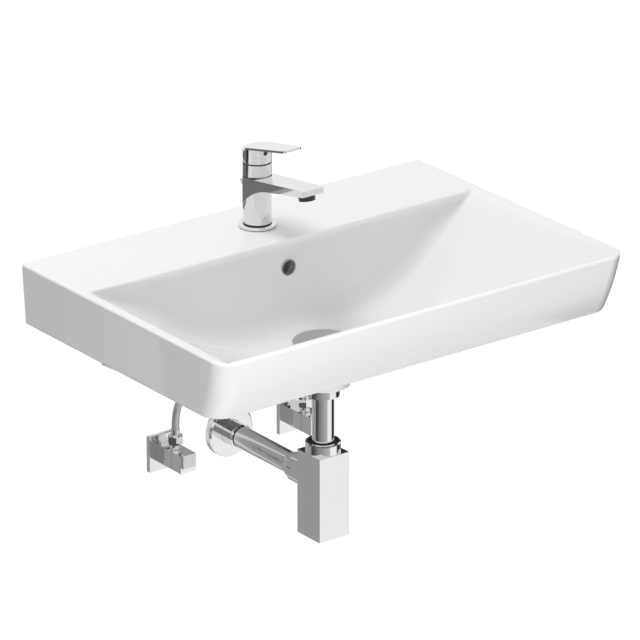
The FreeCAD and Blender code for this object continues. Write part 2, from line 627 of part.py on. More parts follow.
def make_lever():
    low = S.seam_rise + S.seam_gap
    slope = tangent(S.lever_tilt)
    drop = S.lever_thick / cosine(S.lever_tilt)
    rear = S.tap_radius + S.overrun
    front = S.lever_reach + S.overrun

    def top_at(y):
        return S.lever_top_rise - slope * y

    wide = S.tap_radius * 2 + S.overrun
    skirt = in_tap(rod("lever_skirt", S.tap_radius, S.lever_reach), low)
    under = in_tap(padded("lever_under", "YZ_Plane", [
        (0, low), (rear, low + tangent(S.relief_tilt) * rear), (rear, top_at(rear)),
        (-rear, top_at(-rear)), (-rear, low)], wide))
    plan = plan_form("lever_plan", S.tap_radius, S.lever_reach, S.lever_tip_half, S.lever_corner,
                     low, low + S.lever_reach)
    blade = in_tap(padded("lever_side", "YZ_Plane", [
        (rear, top_at(rear)), (-front, top_at(-front)), (-front, top_at(-front) - drop),
        (rear, top_at(rear) - drop)], wide))
    cap = shared("lever_cap", [skirt, under])
    blank = joined("lever_blank", [cap, shared("lever_blade", [blade, plan])])
    hollow = in_tap(rod("lever_hollow", S.lever_cavity, S.lever_roof_rise - low + S.overrun),
                    low - S.overrun)
    socket = in_tap(block("lever_socket", (S.stem_half + S.thread_gap) * 2,
                          (S.stem_deep_half + S.thread_gap) * 2, S.stem_top + S.thread_gap - S.pivot_rise),
                    S.pivot_rise)
    screw_hole = in_tap(rod("screw_hole", S.lever_screw_radius + S.thread_gap, S.tap_radius),
                        S.lever_screw_rise, y=-S.tap_radius - S.overrun, turn=TOWARDS_WALL)
    button_seat = in_tap(rod("button_seat", S.plug_button_radius + S.thread_gap,
                             S.plug_button_deep + S.overrun),
                         S.lever_screw_rise, y=-S.tap_radius - S.overrun, turn=TOWARDS_WALL)
    keep("lever", cut("lever", blank, [hollow, socket, screw_hole, button_seat]))
    grub = rod("grub_screw", S.lever_screw_radius, S.lever_screw_long)
    grub_y = -S.stem_deep_half - S.thread_gap - S.lever_screw_long
    keep("lever_screw", in_tap(grub, S.lever_screw_rise, y=grub_y, turn=TOWARDS_WALL))
    button = turned("button", [(0, 0), (S.plug_button_radius, S.plug_button_deep / 4),
                               (S.plug_button_radius, S.plug_button_deep), (0, S.plug_button_deep)])
    keep("lever_plug", in_tap(button, S.lever_screw_rise, y=-S.tap_radius, turn=TOWARDS_WALL))


def horseshoe(name, high):
    """A plate round the tap hole that is open to the rear for the hoses and the lift rod."""
    disc = rod(f"{name}_disc", S.pad_radius, high)
    mouth = put(block(f"{name}_mouth", S.clamp_mouth_half * 2, S.pad_radius * 2, high * 3),
                0, S.pad_radius - S.clamp_mouth_front, -high)
    hole = put(rod(f"{name}_hole", S.stud_radius + S.clearance, high * 3), 0, -S.stud_offset, -high)
    return cut(name, disc, [mouth, hole])


def make_tap_fixing():
    under = -S.basin_wall - S.pad_thick
    keep("tap_pad", in_tap(horseshoe("pad", S.pad_thick), under))
    keep("tap_clamp", in_tap(horseshoe("clamp", S.clamp_thick), under - S.clamp_thick))
    stud_top = S.tap_cavity_rise - S.overrun + S.stud_in_body
    stud = rod("stud", S.stud_radius, S.stud_long)
    keep("tap_stud", in_tap(stud, stud_top - S.stud_long, y=-S.stud_offset))
    nut = padded("stud_nut", "XY_Plane", hexagon(S.stud_nut_flat), S.stud_nut_high, middle=False)
    bore = put(rod("stud_nut_bore", S.stud_radius + S.thread_gap, S.stud_nut_high * 3), z=-S.stud_nut_high)
    keep("tap_nut", in_tap(cut("stud_nut_bored", nut, [bore]),
                           under - S.clamp_thick - S.stud_nut_high, y=-S.stud_offset))


# Lift rod, strap and pivot
def make_lift():
    lowest = -S.lift_bottom
    length = (S.knob_top + S.lift_bottom) / cosine(S.lift_tilt) - S.knob_high / 2
    keep("lift_rod", lift_line(rod("lift_rod", S.lift_radius, length), lowest))
    socket = S.lift_radius + S.thread_gap
    knob = turned("knob", [
        (socket, 0), (S.lift_radius + S.knob_wall, 0), (S.knob_radius, S.knob_high - S.knob_crown),
        (S.knob_radius - S.knob_crown, S.knob_high), (0, S.knob_high), (0, S.knob_high / 2 + S.thread_gap),
        (socket, S.knob_high / 2 + S.thread_gap)])
    keep("lift_knob", lift_line(knob, S.knob_top - S.knob_high * cosine(S.lift_tilt)))
    pivot_y = TAP_Y + S.lift_offset - tangent(S.lift_tilt) * S.pivot_drop
    block_y = TAP_Y + S.lift_offset - tangent(S.lift_tilt) * (S.strap_top + S.strap_block_high / 2)
    clamp = put(block("strap_block", S.strap_half * 2, S.strap_block_deep, S.strap_block_high),
                0, block_y, RIM_Z - S.strap_top - S.strap_block_high)
    plate_high = S.strap_bottom - S.strap_top - S.strap_block_high / 2
    plate = put(block("strap_plate", S.strap_half * 2, S.strap_thick, plate_high),
                0, pivot_y, RIM_Z - S.strap_bottom)
    bore = lift_line(rod("strap_bore", S.lift_radius + S.thread_gap, S.lift_bottom), lowest - S.overrun)
    eye = put(rod("strap_eye", S.pivot_radius + S.pivot_play, S.strap_block_deep * 4),
              0, pivot_y - S.strap_block_deep * 2, RIM_Z - S.pivot_drop, TOWARDS_WALL)
    screw_z = RIM_Z - S.strap_top - S.strap_block_high / 4
    screw_y = TAP_Y + S.lift_offset - tangent(S.lift_tilt) * (S.strap_top + S.strap_block_high / 4)
    tapped = put(rod("strap_tapped", S.strap_screw_radius + S.thread_gap, S.strap_half + S.overrun),
                 0, screw_y, screw_z, ALONG_X)
    keep("lift_strap", cut("strap", joined("strap_blank", [clamp, plate]), [bore, eye, tapped]))
    tip = S.lift_radius + S.thread_gap
    screw = turned("strap_screw", [
        (0, tip), (S.strap_screw_radius, tip), (S.strap_screw_radius, S.strap_half),
        (S.strap_head_radius, S.strap_half), (S.strap_head_radius, S.strap_half + S.strap_head_high),
        (0, S.strap_half + S.strap_head_high)])
    keep("lift_strap_screw", put(screw, 0, screw_y, screw_z, ALONG_X))


def make_pivot():
    ball = S.ball_offset
    strap_reach = TAP_Y + S.lift_offset - tangent(S.lift_tilt) * S.pivot_drop - DRAIN_Y + S.pivot_past_strap
    neck = root(S.ball_radius * S.ball_radius - S.pivot_radius * S.pivot_radius)
    arm = turned("pivot_arm", [
        (0, -S.pivot_tip), (S.pivot_radius, -S.pivot_tip), (S.pivot_radius, ball - neck, S.ball_radius),
        (S.pivot_radius, ball + neck), (S.pivot_radius, strap_reach), (0, strap_reach)])
    keep("pivot_rod", put(arm, 0, DRAIN_Y, RIM_Z - S.pivot_drop, TOWARDS_WALL))


# Waste
def in_waste(thing, drop=0):
    return put(thing, 0, DRAIN_Y, RIM_Z - drop)


def make_waste():
    flange_top = S.bowl_fall - S.thread_gap * 2
    flange_low = flange_top + S.waste_flange_thick
    rim = S.waste_flange_radius
    tube = turned("flange_tube", [
        (S.waste_throat, -S.waste_tube_drop), (S.waste_tube, -S.waste_tube_drop),
        (S.waste_tube, -flange_low), (rim, -flange_low), (rim, -flange_top - S.waste_flange_thick / 2),
        (S.waste_tube + S.waste_gasket, -flange_top),
        (S.waste_throat, -flange_top - S.waste_flange_thick / 2)])
    slot = put(block("overflow_slot", S.waste_tube * 3, S.overflow_slot_half * 2,
                     S.overflow_slot_bottom - S.overflow_slot_top), z=-S.overflow_slot_bottom)
    keep("waste_flange", in_waste(cut("flange_slotted", tube, [slot])))
    gasket_low = flange_low + S.waste_gasket
    keep("waste_top_gasket", in_waste(ring("top_gasket", S.drain_bore, rim, -gasket_low, -flange_low)))
    seat = S.drain_boss_drop + S.lower_gasket
    lower = ring("lower_gasket", S.waste_sleeve + S.thread_gap, S.waste_body_radius,
                 -seat, -S.drain_boss_drop)
    keep("waste_lower_gasket", in_waste(lower))
    socket_top = S.waste_body_drop - S.pipe_socket
    thread = S.waste_tube + S.thread_gap
    shell = turned("waste_shell", [
        (thread, -S.waste_sleeve_drop), (S.waste_sleeve, -S.waste_sleeve_drop), (S.waste_sleeve, -seat),
        (S.waste_body_radius, -seat), (S.waste_body_radius, -S.waste_body_drop),
        (S.pipe_radius + S.thread_gap, -S.waste_body_drop), (S.pipe_radius + S.thread_gap, -socket_top),
        (S.waste_chamber, -socket_top), (S.waste_chamber, -S.waste_tube_drop - S.clearance),
        (thread, -S.waste_tube_drop - S.clearance)])
    port_end = S.ball_offset + S.port_long
    inner = (S.waste_chamber + S.waste_body_radius) / 2
    port = put(rod("ball_port", S.port_radius, port_end - inner), 0, inner, -S.pivot_drop, TOWARDS_WALL)
    seat_y = S.ball_offset - S.ball_radius - S.clearance
    ball_bore = put(rod("ball_bore", S.ball_radius + S.clearance, S.port_long * 3),
                    0, seat_y, -S.pivot_drop, TOWARDS_WALL)
    throat = put(rod("ball_throat", S.port_throat, S.ball_offset), 0, 0, -S.pivot_drop, TOWARDS_WALL)
    clear = put(rod("chamber_clear", S.waste_chamber, socket_top - S.waste_tube_drop), z=-socket_top)
    cast = joined("waste_cast", [shell, port])
    keep("waste_body", in_waste(cut("waste_bored", cast, [ball_bore, throat, clear])))
    outer = S.port_radius + S.thread_gap
    nut_start = S.waste_body_radius + S.port_nut_gap
    nut = turned("port_nut", [
        (outer, nut_start), (S.port_nut_radius, nut_start),
        (S.port_nut_radius, port_end + S.port_nut_lip), (S.port_throat, port_end + S.port_nut_lip),
        (S.port_throat, port_end + S.thread_gap), (outer, port_end + S.thread_gap)])
    keep("waste_port_nut", put(nut, 0, DRAIN_Y, RIM_Z - S.pivot_drop, TOWARDS_WALL))
    seat_ring = ring("ball_seat", S.port_throat, S.ball_radius + S.clearance - S.thread_gap,
                     port_end - S.port_seat, port_end)
    keep("waste_port_seat", put(seat_ring, 0, DRAIN_Y, RIM_Z - S.pivot_drop, TOWARDS_WALL))


def make_plug():
    under = -S.bowl_fall + S.cap_lift
    rim = under + S.cap_thick
    keep("plug_cap", in_waste(turned("cap", [
        (0, under), (S.cap_radius - S.cap_dome, under), (S.cap_radius, under + S.cap_dome),
        (S.cap_radius, rim - S.cap_dome), (S.cap_radius - S.cap_dome, rim), (0, rim + S.cap_dome)])))
    flange_top = -S.bowl_fall + S.thread_gap * 2
    keep("plug_seal", in_waste(ring("seal", S.waste_throat, S.seal_radius, flange_top + S.clearance, under)))
    bottom = -S.pivot_drop
    post = rod("plug_post", S.stem_radius, S.pivot_drop - S.bowl_fall + S.cap_lift)
    put(post, z=bottom)
    eye = put(rod("plug_eye", S.eye_radius, S.eye_thick), 0, -S.eye_thick / 2, bottom, TOWARDS_WALL)
    hole = put(rod("plug_hole", S.pivot_radius + S.pivot_play, S.eye_radius * 2),
               0, -S.eye_radius, bottom, TOWARDS_WALL)
    keep("plug_stem", in_waste(cut("plug_stem", joined("plug_blank", [post, eye]), [hole])))


# Trap
def make_trap():
    bore = S.pipe_radius - S.pipe_wall
    keep("tailpipe", in_waste(ring("tailpipe_tube", bore, S.pipe_radius, -S.dip_drop,
                                   S.pipe_socket - S.waste_body_drop)))
    grip = S.pipe_radius + S.clearance
    thread = S.neck_radius + S.thread_gap
    neck_top = S.neck_high - S.box_top
    seal_low = neck_top + S.thread_gap
    mouth = S.collar_seal_radius + S.thread_gap
    keep("trap_collar", in_waste(turned("collar", [
        (thread, -S.box_top), (S.collar_radius, -S.box_top),
        (S.collar_radius, -S.collar_top - S.collar_chamfer),
        (S.collar_radius - S.collar_chamfer, -S.collar_top), (mouth, -S.collar_top), (mouth, seal_low),
        (thread, seal_low)])))
    keep("trap_collar_seal", in_waste(turned("collar_seal", [
        (S.pipe_radius + S.thread_gap, seal_low), (S.collar_seal_radius, seal_low),
        (S.collar_seal_radius, -S.collar_top - S.collar_chamfer),
        (S.pipe_radius + S.thread_gap, -S.collar_top)])))
    tall = S.box_bottom - S.box_top
    inside = S.box_side - S.box_wall * 2
    tube = put(block("box_tube", S.box_side, S.box_side, tall), z=-S.box_bottom)
    upright = rounded("box_edges", tube, S.box_edge,
                      lambda edge: abs(edge.Length - tall.number) < S.clearance.number)
    neck = put(rod("box_neck", S.neck_radius, S.neck_high + S.box_wall), z=-S.box_top - S.box_wall)
    spigot_end = S.box_side / 2 + S.spigot_long
    drop = -S.outlet_drop
    spigot = put(rod("box_spigot", S.spigot_radius, spigot_end - inside / 2),
                 0, inside / 2, drop, TOWARDS_WALL)
    room = put(block("box_room", inside, inside, tall - S.box_wall + S.overrun), z=-S.box_bottom - S.overrun)
    throat = put(rod("box_throat", grip, S.neck_high * 4), z=-S.box_top - S.neck_high)
    way = put(rod("box_way", S.pipe_radius + S.thread_gap, S.box_side * 2), 0, 0, drop, TOWARDS_WALL)
    cast = joined("box_cast", [upright, neck, spigot])
    keep("trap_box", in_waste(cut("box_bored", cast, [room, throat, way])))
    plug_side = inside - S.thread_gap * 2
    window_side = plug_side - S.cleanout_lip * 2
    plate = block("cleanout_plate", plug_side, plug_side, S.cleanout_thick)
    keep("trap_cleanout", in_waste(plate, S.box_bottom))
    seal_z = S.cleanout_thick - S.box_bottom
    frame = put(block("cleanout_frame", plug_side, plug_side, S.cleanout_seal), z=seal_z)
    window = put(block("cleanout_window", window_side, window_side, S.cleanout_seal * 3),
                 z=seal_z - S.cleanout_seal)
    keep("trap_cleanout_seal", in_waste(cut("cleanout_seal", frame, [window])))
    make_outlet(S.box_side / 2, spigot_end)


def on_outlet(thing):
    return put(thing, 0, DRAIN_Y, RIM_Z - S.outlet_drop, TOWARDS_WALL)


def make_outlet(face, spigot_end):
    grip = S.pipe_radius + S.thread_gap
    thread = S.spigot_radius + S.thread_gap
    nut_end = face + S.outlet_nut_long
    cone_end = nut_end + S.outlet_cone_long
    stop = spigot_end + S.outlet_seal_long
    keep("outlet_nut", on_outlet(turned("outlet_nut", [
        (thread, face), (S.outlet_nut_radius, face), (S.outlet_nut_radius, nut_end),
        (S.outlet_cone_end, cone_end), (grip, cone_end), (grip, stop), (thread, stop)])))
    keep("outlet_seal", on_outlet(ring("outlet_seal", grip, S.spigot_radius, spigot_end, stop)))
    wall = S.drain_from_wall
    bore = S.pipe_radius - S.pipe_wall
    groove = wall + S.stub_groove_long
    start = face + S.outlet_pipe_start
    keep("outlet_pipe", on_outlet(turned("outlet_tube", [
        (bore, start), (S.pipe_radius, start), (S.pipe_radius, wall), (S.pipe_radius - S.stub_groove, wall),
        (S.pipe_radius - S.stub_groove, groove), (S.pipe_radius, groove),
        (S.pipe_radius, groove + S.stub_long), (bore, groove + S.stub_long)])))
    front = wall - S.rosette_thick
    tip = front - S.sleeve_long
    keep("outlet_sleeve", on_outlet(turned("sleeve", [
        (grip, tip), (S.sleeve_radius - S.sleeve_chamfer, tip), (S.sleeve_radius, tip + S.sleeve_chamfer),
        (S.sleeve_radius, wall - S.rosette_thick / 2), (grip, wall - S.rosette_thick / 2)])))
    seat = S.sleeve_radius + S.thread_gap
    keep("outlet_rosette", on_outlet(turned("rosette", [
        (seat, front), (S.rosette_radius - S.rosette_edge, front),
        (S.rosette_radius, front + S.rosette_edge), (S.rosette_radius, wall), (seat, wall)])))


# Angle valves and hoses
def square_bar(name, side, length, edge):
    bar = block(name, side, side, length)
    return rounded(f"{name}_edges", bar, edge, lambda e: abs(e.Length - length.number) < S.clearance.number)


def make_valve(side, word):
    """One angle valve. Its own Z axis runs from the wall to the front of the handle."""
    def at_wall(thing, forward=0):
        return put(thing, S.valve_offset * side, -as_size(forward), RIM_Z - S.valve_drop, ABOUT_X)

    plate = block(f"plate_{word}", S.plate_wide, S.plate_high, S.plate_thick)
    soft = rounded(f"plate_{word}_edges", plate, S.plate_edge,
                   lambda e: min(p.z for p in ends_of(e)) > S.plate_thick.number - S.clearance.number)
    hole = put(rod(f"plate_{word}_hole", S.inlet_radius + S.thread_gap, S.plate_thick * 3), z=-S.plate_thick)
    keep(f"valve_plate_{word}", at_wall(cut(f"plate_{word}_bored", soft, [hole])))
    bar = put(square_bar(f"bar_{word}", S.bar_side, S.bar_body_long, S.bar_edge), z=S.plate_thick)
    groove = S.inlet_radius - S.inlet_groove
    inlet = turned(f"inlet_{word}", [
        (0, -S.inlet_groove_long - S.inlet_long), (S.inlet_radius, -S.inlet_groove_long - S.inlet_long),
        (S.inlet_radius, -S.inlet_groove_long), (groove, -S.inlet_groove_long),
        (groove, S.plate_thick + S.overrun), (0, S.plate_thick + S.overrun)])
    neck_z = S.plate_thick + S.neck_offset
    neck = put(rod(f"neck_{word}", S.valve_neck, S.bar_side / 4 + S.neck_show + S.neck_in_nut),
               0, S.bar_side / 4, neck_z, TOWARDS_WALL)
    front = S.plate_thick + S.bar_body_long
    seat = put(rod(f"seat_{word}", S.spindle_radius + S.running_gap, S.spindle_in_body + S.overrun),
               z=front - S.spindle_in_body - S.running_gap)
    cast = joined(f"cast_{word}", [bar, inlet, neck])
    keep(f"valve_body_{word}", at_wall(cut(f"body_{word}", cast, [seat])))
    grip_low = front + S.handle_gap
    grip_long = S.plate_thick + S.bar_long - grip_low
    grip = put(square_bar(f"grip_{word}", S.bar_side, grip_long, S.bar_edge), z=grip_low)
    socket = put(rod(f"grip_{word}_socket", S.spindle_radius, S.spindle_in_handle), z=grip_low - S.overrun)
    keep(f"valve_handle_{word}", at_wall(cut(f"grip_{word}_bored", grip, [socket])))
    spindle = rod(f"spindle_{word}", S.spindle_radius,
                  S.spindle_in_body + S.handle_gap + S.spindle_in_handle - S.overrun)
    keep(f"valve_spindle_{word}", at_wall(spindle, front - S.spindle_in_body))


def hose_path(spots):
    """Straight runs joined by tangent arcs as large as the runs allow."""
    edges, radii, last = [], [], spots[0]
    for before, corner, after in zip(spots, spots[1:], spots[2:]):
        into, out = corner - before, after - corner
        turn = into.getAngle(out)
        trim = BEND_SHARE * min(into.Length, out.Length)
        radii.append(trim / math.tan(turn / 2))
        start = corner - Vector(into).normalize() * trim
        end = corner + Vector(out).normalize() * trim
        inward = (start + end) / 2 - corner
        deep = radii[-1] / math.cos(turn / 2) - radii[-1]
        middle = corner + inward.normalize() * deep
        edges += [Part.LineSegment(last, start).toShape(), Part.Arc(start, middle, end).toShape()]
        last = end
    edges.append(Part.LineSegment(last, spots[-1]).toShape())
    return Part.Wire(edges), radii


def make_hose(word, start, end):
    """Sweep one hose from its valve to the tap and print its length and bends."""
    way = end - start
    spots = [start + Vector(way.x * across, way.y * across, way.z * up) for across, up in HOSE_SHARES]
    wire, radii = hose_path(spots)
    circle = Part.Wire(Part.Circle(start, spots[1] - start, S.hose_radius.number).toShape())
    hose = doc.addObject("Part::Feature", f"hose_{word}")
    hose.Shape = wire.makePipeShell([circle], True, False)
    hose.Placement = Placement()
    keep(f"hose_{word}", hose)
    section = math.pi * S.hose_radius.number ** 2 * wire.Length
    print(f"hose_{word}: length {wire.Length:.1f} mm, radii", [round(r) for r in radii],
          f"volume over section times length {hose.Shape.Volume / section:.4f}")


def make_hoses():
    nut_low = RIM_Z - S.valve_drop + S.bar_side / 2 + S.neck_show
    collar_low = nut_low + S.hose_nut_high
    start_z = collar_low + S.ferrule_long
    top = RIM_Z + S.hose_top
    y = -(S.plate_thick + S.neck_offset)
    tail_long = S.tap_cavity_rise - S.hose_top - S.ferrule_long + S.tail_in_body
    nuts, ferrules, tails = [], [], []
    for side, word in ((-1, "left"), (1, "right")):
        x = S.valve_offset * side
        tap_x = S.hose_offset * side
        make_hose(word, Vector(x.number, y.number, start_z.number),
                  Vector(tap_x.number, TAP_Y.number, top.number))
        nut = padded(f"hose_nut_{word}", "XY_Plane", hexagon(S.hose_nut_flat), S.hose_nut_high, middle=False)
        low = put(rod(f"nut_{word}_socket", S.valve_neck + S.thread_gap, S.neck_in_nut + S.overrun),
                  x, y, nut_low - S.overrun)
        nuts.append(cut(f"hose_nut_{word}_bored", put(nut, x, y, nut_low), [low]))
        ferrules.append(put(rod(f"ferrule_low_{word}", S.ferrule_radius, S.ferrule_long), x, y, collar_low))
        ferrules.append(put(rod(f"ferrule_top_{word}", S.ferrule_radius, S.ferrule_long), tap_x, TAP_Y, top))
        tails.append(put(rod(f"tail_{word}", S.tail_radius, tail_long), tap_x, TAP_Y, top + S.ferrule_long))
    keep("hose_nuts", group("hose_nuts", nuts))
    keep("hose_ferrules", group("hose_ferrules", ferrules))
    keep("hose_tails", group("hose_tails", tails))


def write_parts():
    doc.recompute()
    for thing in doc.Objects:
        if "Invalid" in thing.State or "Error" in thing.State:
            raise RuntimeError(f"{thing.Name} ({thing.Label}) did not build: {thing.State}")
    for name, thing in parts.items():
        if thing.Shape.isNull() or not thing.Shape.isValid() or not thing.Shape.Solids:
            raise RuntimeError(f"{name} has no valid solid")
    os.makedirs("parts", exist_ok=True)
    for name, thing in parts.items():
        thing.Shape.exportStep(f"parts/{name}.step")
        box = thing.Shape.BoundBox
        print(f"{name}: {len(thing.Shape.Solids)} solid, {thing.Shape.Volume:.0f} mm3, "
              f"z {box.ZMin:.1f} to {box.ZMax:.1f}")


make_basin()
make_tap_body()
make_aerator()
make_cartridge()
make_lever()
make_tap_fixing()
make_lift()
make_pivot()
make_waste()
make_plug()
make_trap()
for side, word in ((-1, "left"), (1, "right")):
    make_valve(side, word)
make_hoses()
write_parts()
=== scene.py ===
# The looks of a wall-hung washbasin: glazed ceramic, polished chrome, braided hoses, studio light.
import json
import math
import bpy
from mathutils import Matrix, Vector

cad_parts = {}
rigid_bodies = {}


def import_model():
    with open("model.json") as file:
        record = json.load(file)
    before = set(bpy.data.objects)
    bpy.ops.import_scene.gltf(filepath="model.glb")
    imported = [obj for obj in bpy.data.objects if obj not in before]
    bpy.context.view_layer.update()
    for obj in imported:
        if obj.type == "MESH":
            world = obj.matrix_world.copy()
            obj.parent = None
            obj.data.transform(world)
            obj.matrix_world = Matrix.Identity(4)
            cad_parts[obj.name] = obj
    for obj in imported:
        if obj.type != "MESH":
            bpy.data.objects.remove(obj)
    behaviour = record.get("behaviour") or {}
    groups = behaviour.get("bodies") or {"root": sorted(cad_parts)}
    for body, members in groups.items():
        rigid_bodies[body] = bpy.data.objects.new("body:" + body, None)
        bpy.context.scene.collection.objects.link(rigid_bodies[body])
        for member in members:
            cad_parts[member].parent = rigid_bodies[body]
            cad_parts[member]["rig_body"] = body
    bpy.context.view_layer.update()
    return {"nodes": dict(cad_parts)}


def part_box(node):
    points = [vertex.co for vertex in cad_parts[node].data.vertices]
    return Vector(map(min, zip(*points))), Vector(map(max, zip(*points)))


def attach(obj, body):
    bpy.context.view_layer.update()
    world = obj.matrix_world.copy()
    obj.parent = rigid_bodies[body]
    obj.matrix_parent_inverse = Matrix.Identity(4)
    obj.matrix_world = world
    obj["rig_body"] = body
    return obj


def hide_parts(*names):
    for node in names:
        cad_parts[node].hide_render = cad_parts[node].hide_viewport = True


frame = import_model()
nodes = frame["nodes"]
bpy.ops.object.select_all(action="DESELECT")

# Camera at the photograph's viewing angle
CAMERA_PLACE = Vector((-4.4422, -6.1225, 2.9055))
CAMERA_RIGHT = Vector((0.7989, -0.6015, 0.0))
CAMERA_BACK = Vector((-0.5586, -0.7418, 0.3710))
CAMERA_LENS = 319.8
CAMERA_FAR = 100.0
SENSOR = 36.0

# Studio, in metres; greys are linear
BASIN_Y = -0.24
FLOOR_DROP = 0.80
FLOOR_SIZE = 60.0
FLOOR_TONE = 0.08
FLOOR_GLOW = 1.17
SHADOW_SHARE = 0.12
DOME_GREYS = [(0.0, 0.30), (0.5, 0.60), (1.0, 0.55)]
FULL_TURN = 360
CARD_GLOW = 1.09
CARD_LIFT = 0.01
RING_RADIUS = 0.9
RING_TOP = -0.10
# Greys of the ring that the chrome mirrors, by degrees from the camera's side, positive to its right
RING_LOW = [(-180, 0.36), (-104, 0.38), (-100, 0.006), (-79, 0.006), (-73, 0.06), (-46, 0.13),
            (-42, 0.20), (44, 0.55), (49, 1.0), (92, 1.0), (104, 0.006), (119, 0.006), (124, 0.09),
            (150, 0.17), (155, 0.28), (179, 0.30)]
RING_HIGH = [(-180, 0.14), (-104, 0.16), (-100, 0.006), (-79, 0.006), (-73, 0.05), (-46, 0.11),
             (-42, 0.20), (44, 0.55), (49, 1.0), (92, 1.0), (104, 0.006), (119, 0.006), (124, 0.07),
             (150, 0.12), (155, 0.14), (179, 0.14)]
# The card that stands for the wall: its greys from left to right, below and above a step
CARD_X = -0.05
CARD_Y = 0.06
CARD_WIDE = 1.1
CARD_TOP = 0.03
CARD_LOW = [(0.0, 0.36), (0.44, 0.36), (0.47, 0.8), (0.50, 0.36), (0.60, 0.36), (0.64, 1.0)]
CARD_HIGH = [(0.0, 0.36), (0.44, 0.36), (0.47, 0.8), (0.50, 0.36), (0.62, 0.30), (0.70, 0.03)]
CARD_STEP = -0.33
CARD_STEP_SLOPE = 25.0

# Modelling
SHARP_ANGLE = math.radians(40.0)
CORNER_ANGLE = math.radians(30.0)
FLAT_ANGLE = math.radians(0.3)
MERGE_DISTANCE = 1e-6
FLAT_WEIGHT = 100
SOFT_STEPS = 3
CORNER_STEPS = 2
QUARTER_TURN = math.pi / 2
ROUND_SIDES = 96

# Castings and pressings that get a narrow round on their edges
TAP_EDGE = 0.0007
TAP_CASTINGS = ("tap_body", "lever")
FITTING_EDGE = 0.0005
FITTINGS = ("trap_box", "valve_body_left", "valve_body_right", "valve_handle_left", "valve_handle_right",
            "valve_plate_left", "valve_plate_right", "outlet_rosette")

# Aerator under the spout's tip
AERATOR_SIDES = 64
AERATOR_RADIUS = 0.012
AERATOR_LONG = 0.013
AERATOR_LOWER = 0.003
AERATOR_WALL = 0.0015
AERATOR_RECESS = 0.0015
AERATOR_EDGE = 0.0004
AERATOR_TILT = math.radians(-10.5)
FACING_DOWN = -0.9

# Black rings of painted shade in the tap's seams and at the end of the outlet pipe
TAP_Y = -0.076
TAP_RADIUS = 0.0204
SHADE_RING_THICK = 0.0008
SHADE_RING_EDGE = SHADE_RING_THICK / 4
SHADE_RING_PROUD = 0.00015
SEAM_SHADE_DROP = 0.0010
SEAM_SHADE_WIDE = 0.0020
ROOT_SHADE_Z = 0.1281
ROOT_SHADE_WIDE = 0.0020
ROOT_SHADE_TILT = math.radians(-8.0)
PIPE_RADIUS = 0.016
PIPE_SHADE_WIDE = 0.0022
FOOT_SHADE_Z = 0.0578
FOOT_SHADE_WIDE = 0.0020

# Hoses: the route of the left one from the valve up to the tap, in metres
HOSE_ROUTE = [(-0.1157, -0.034, -0.2445), (-0.1157, -0.034, -0.2203), (-0.10665, -0.03761, -0.1964),
              (-0.08088, -0.0479, -0.16766), (-0.04501, -0.06222, -0.12168),
              (-0.01913, -0.07256, -0.06179), (-0.0105, -0.076, -0.00189), (-0.0105, -0.076, 0.058)]
HOSE_RADIUS = 0.0055
HOSE_ROUNDNESS = 6
HOSE_STEPS = 24
HOSE_ORDER = 3
BRAID_TURNS = 46.0
BRAID_STRANDS = 12.0
BRAID_HALF = 0.5


class Link:
    """An output socket of a material. Sums of links and numbers add Math nodes."""

    def __init__(self, finish, socket):
        self.finish = finish
        self.socket = socket

    def sibling(self, name):
        """Another output of the same node."""
        return Link(self.finish, self.socket.node.outputs[name])

    def math(self, operation, first, second):
        return self.finish.node("Math", {"operation": operation}, {0: first, 1: second})

    def __add__(self, other):
        return self.math("ADD", self, other)

    def __radd__(self, other):
        return self.math("ADD", other, self)

    def __sub__(self, other):
        return self.math("SUBTRACT", self, other)

    def __rsub__(self, other):
        return self.math("SUBTRACT", other, self)

    def __mul__(self, other):
        return self.math("MULTIPLY", self, other)

    def __rmul__(self, other):
        return self.math("MULTIPLY", other, self)

    def __truediv__(self, other):
        return self.math("DIVIDE", self, other)

    def __rtruediv__(self, other):
        return self.math("DIVIDE", other, self)


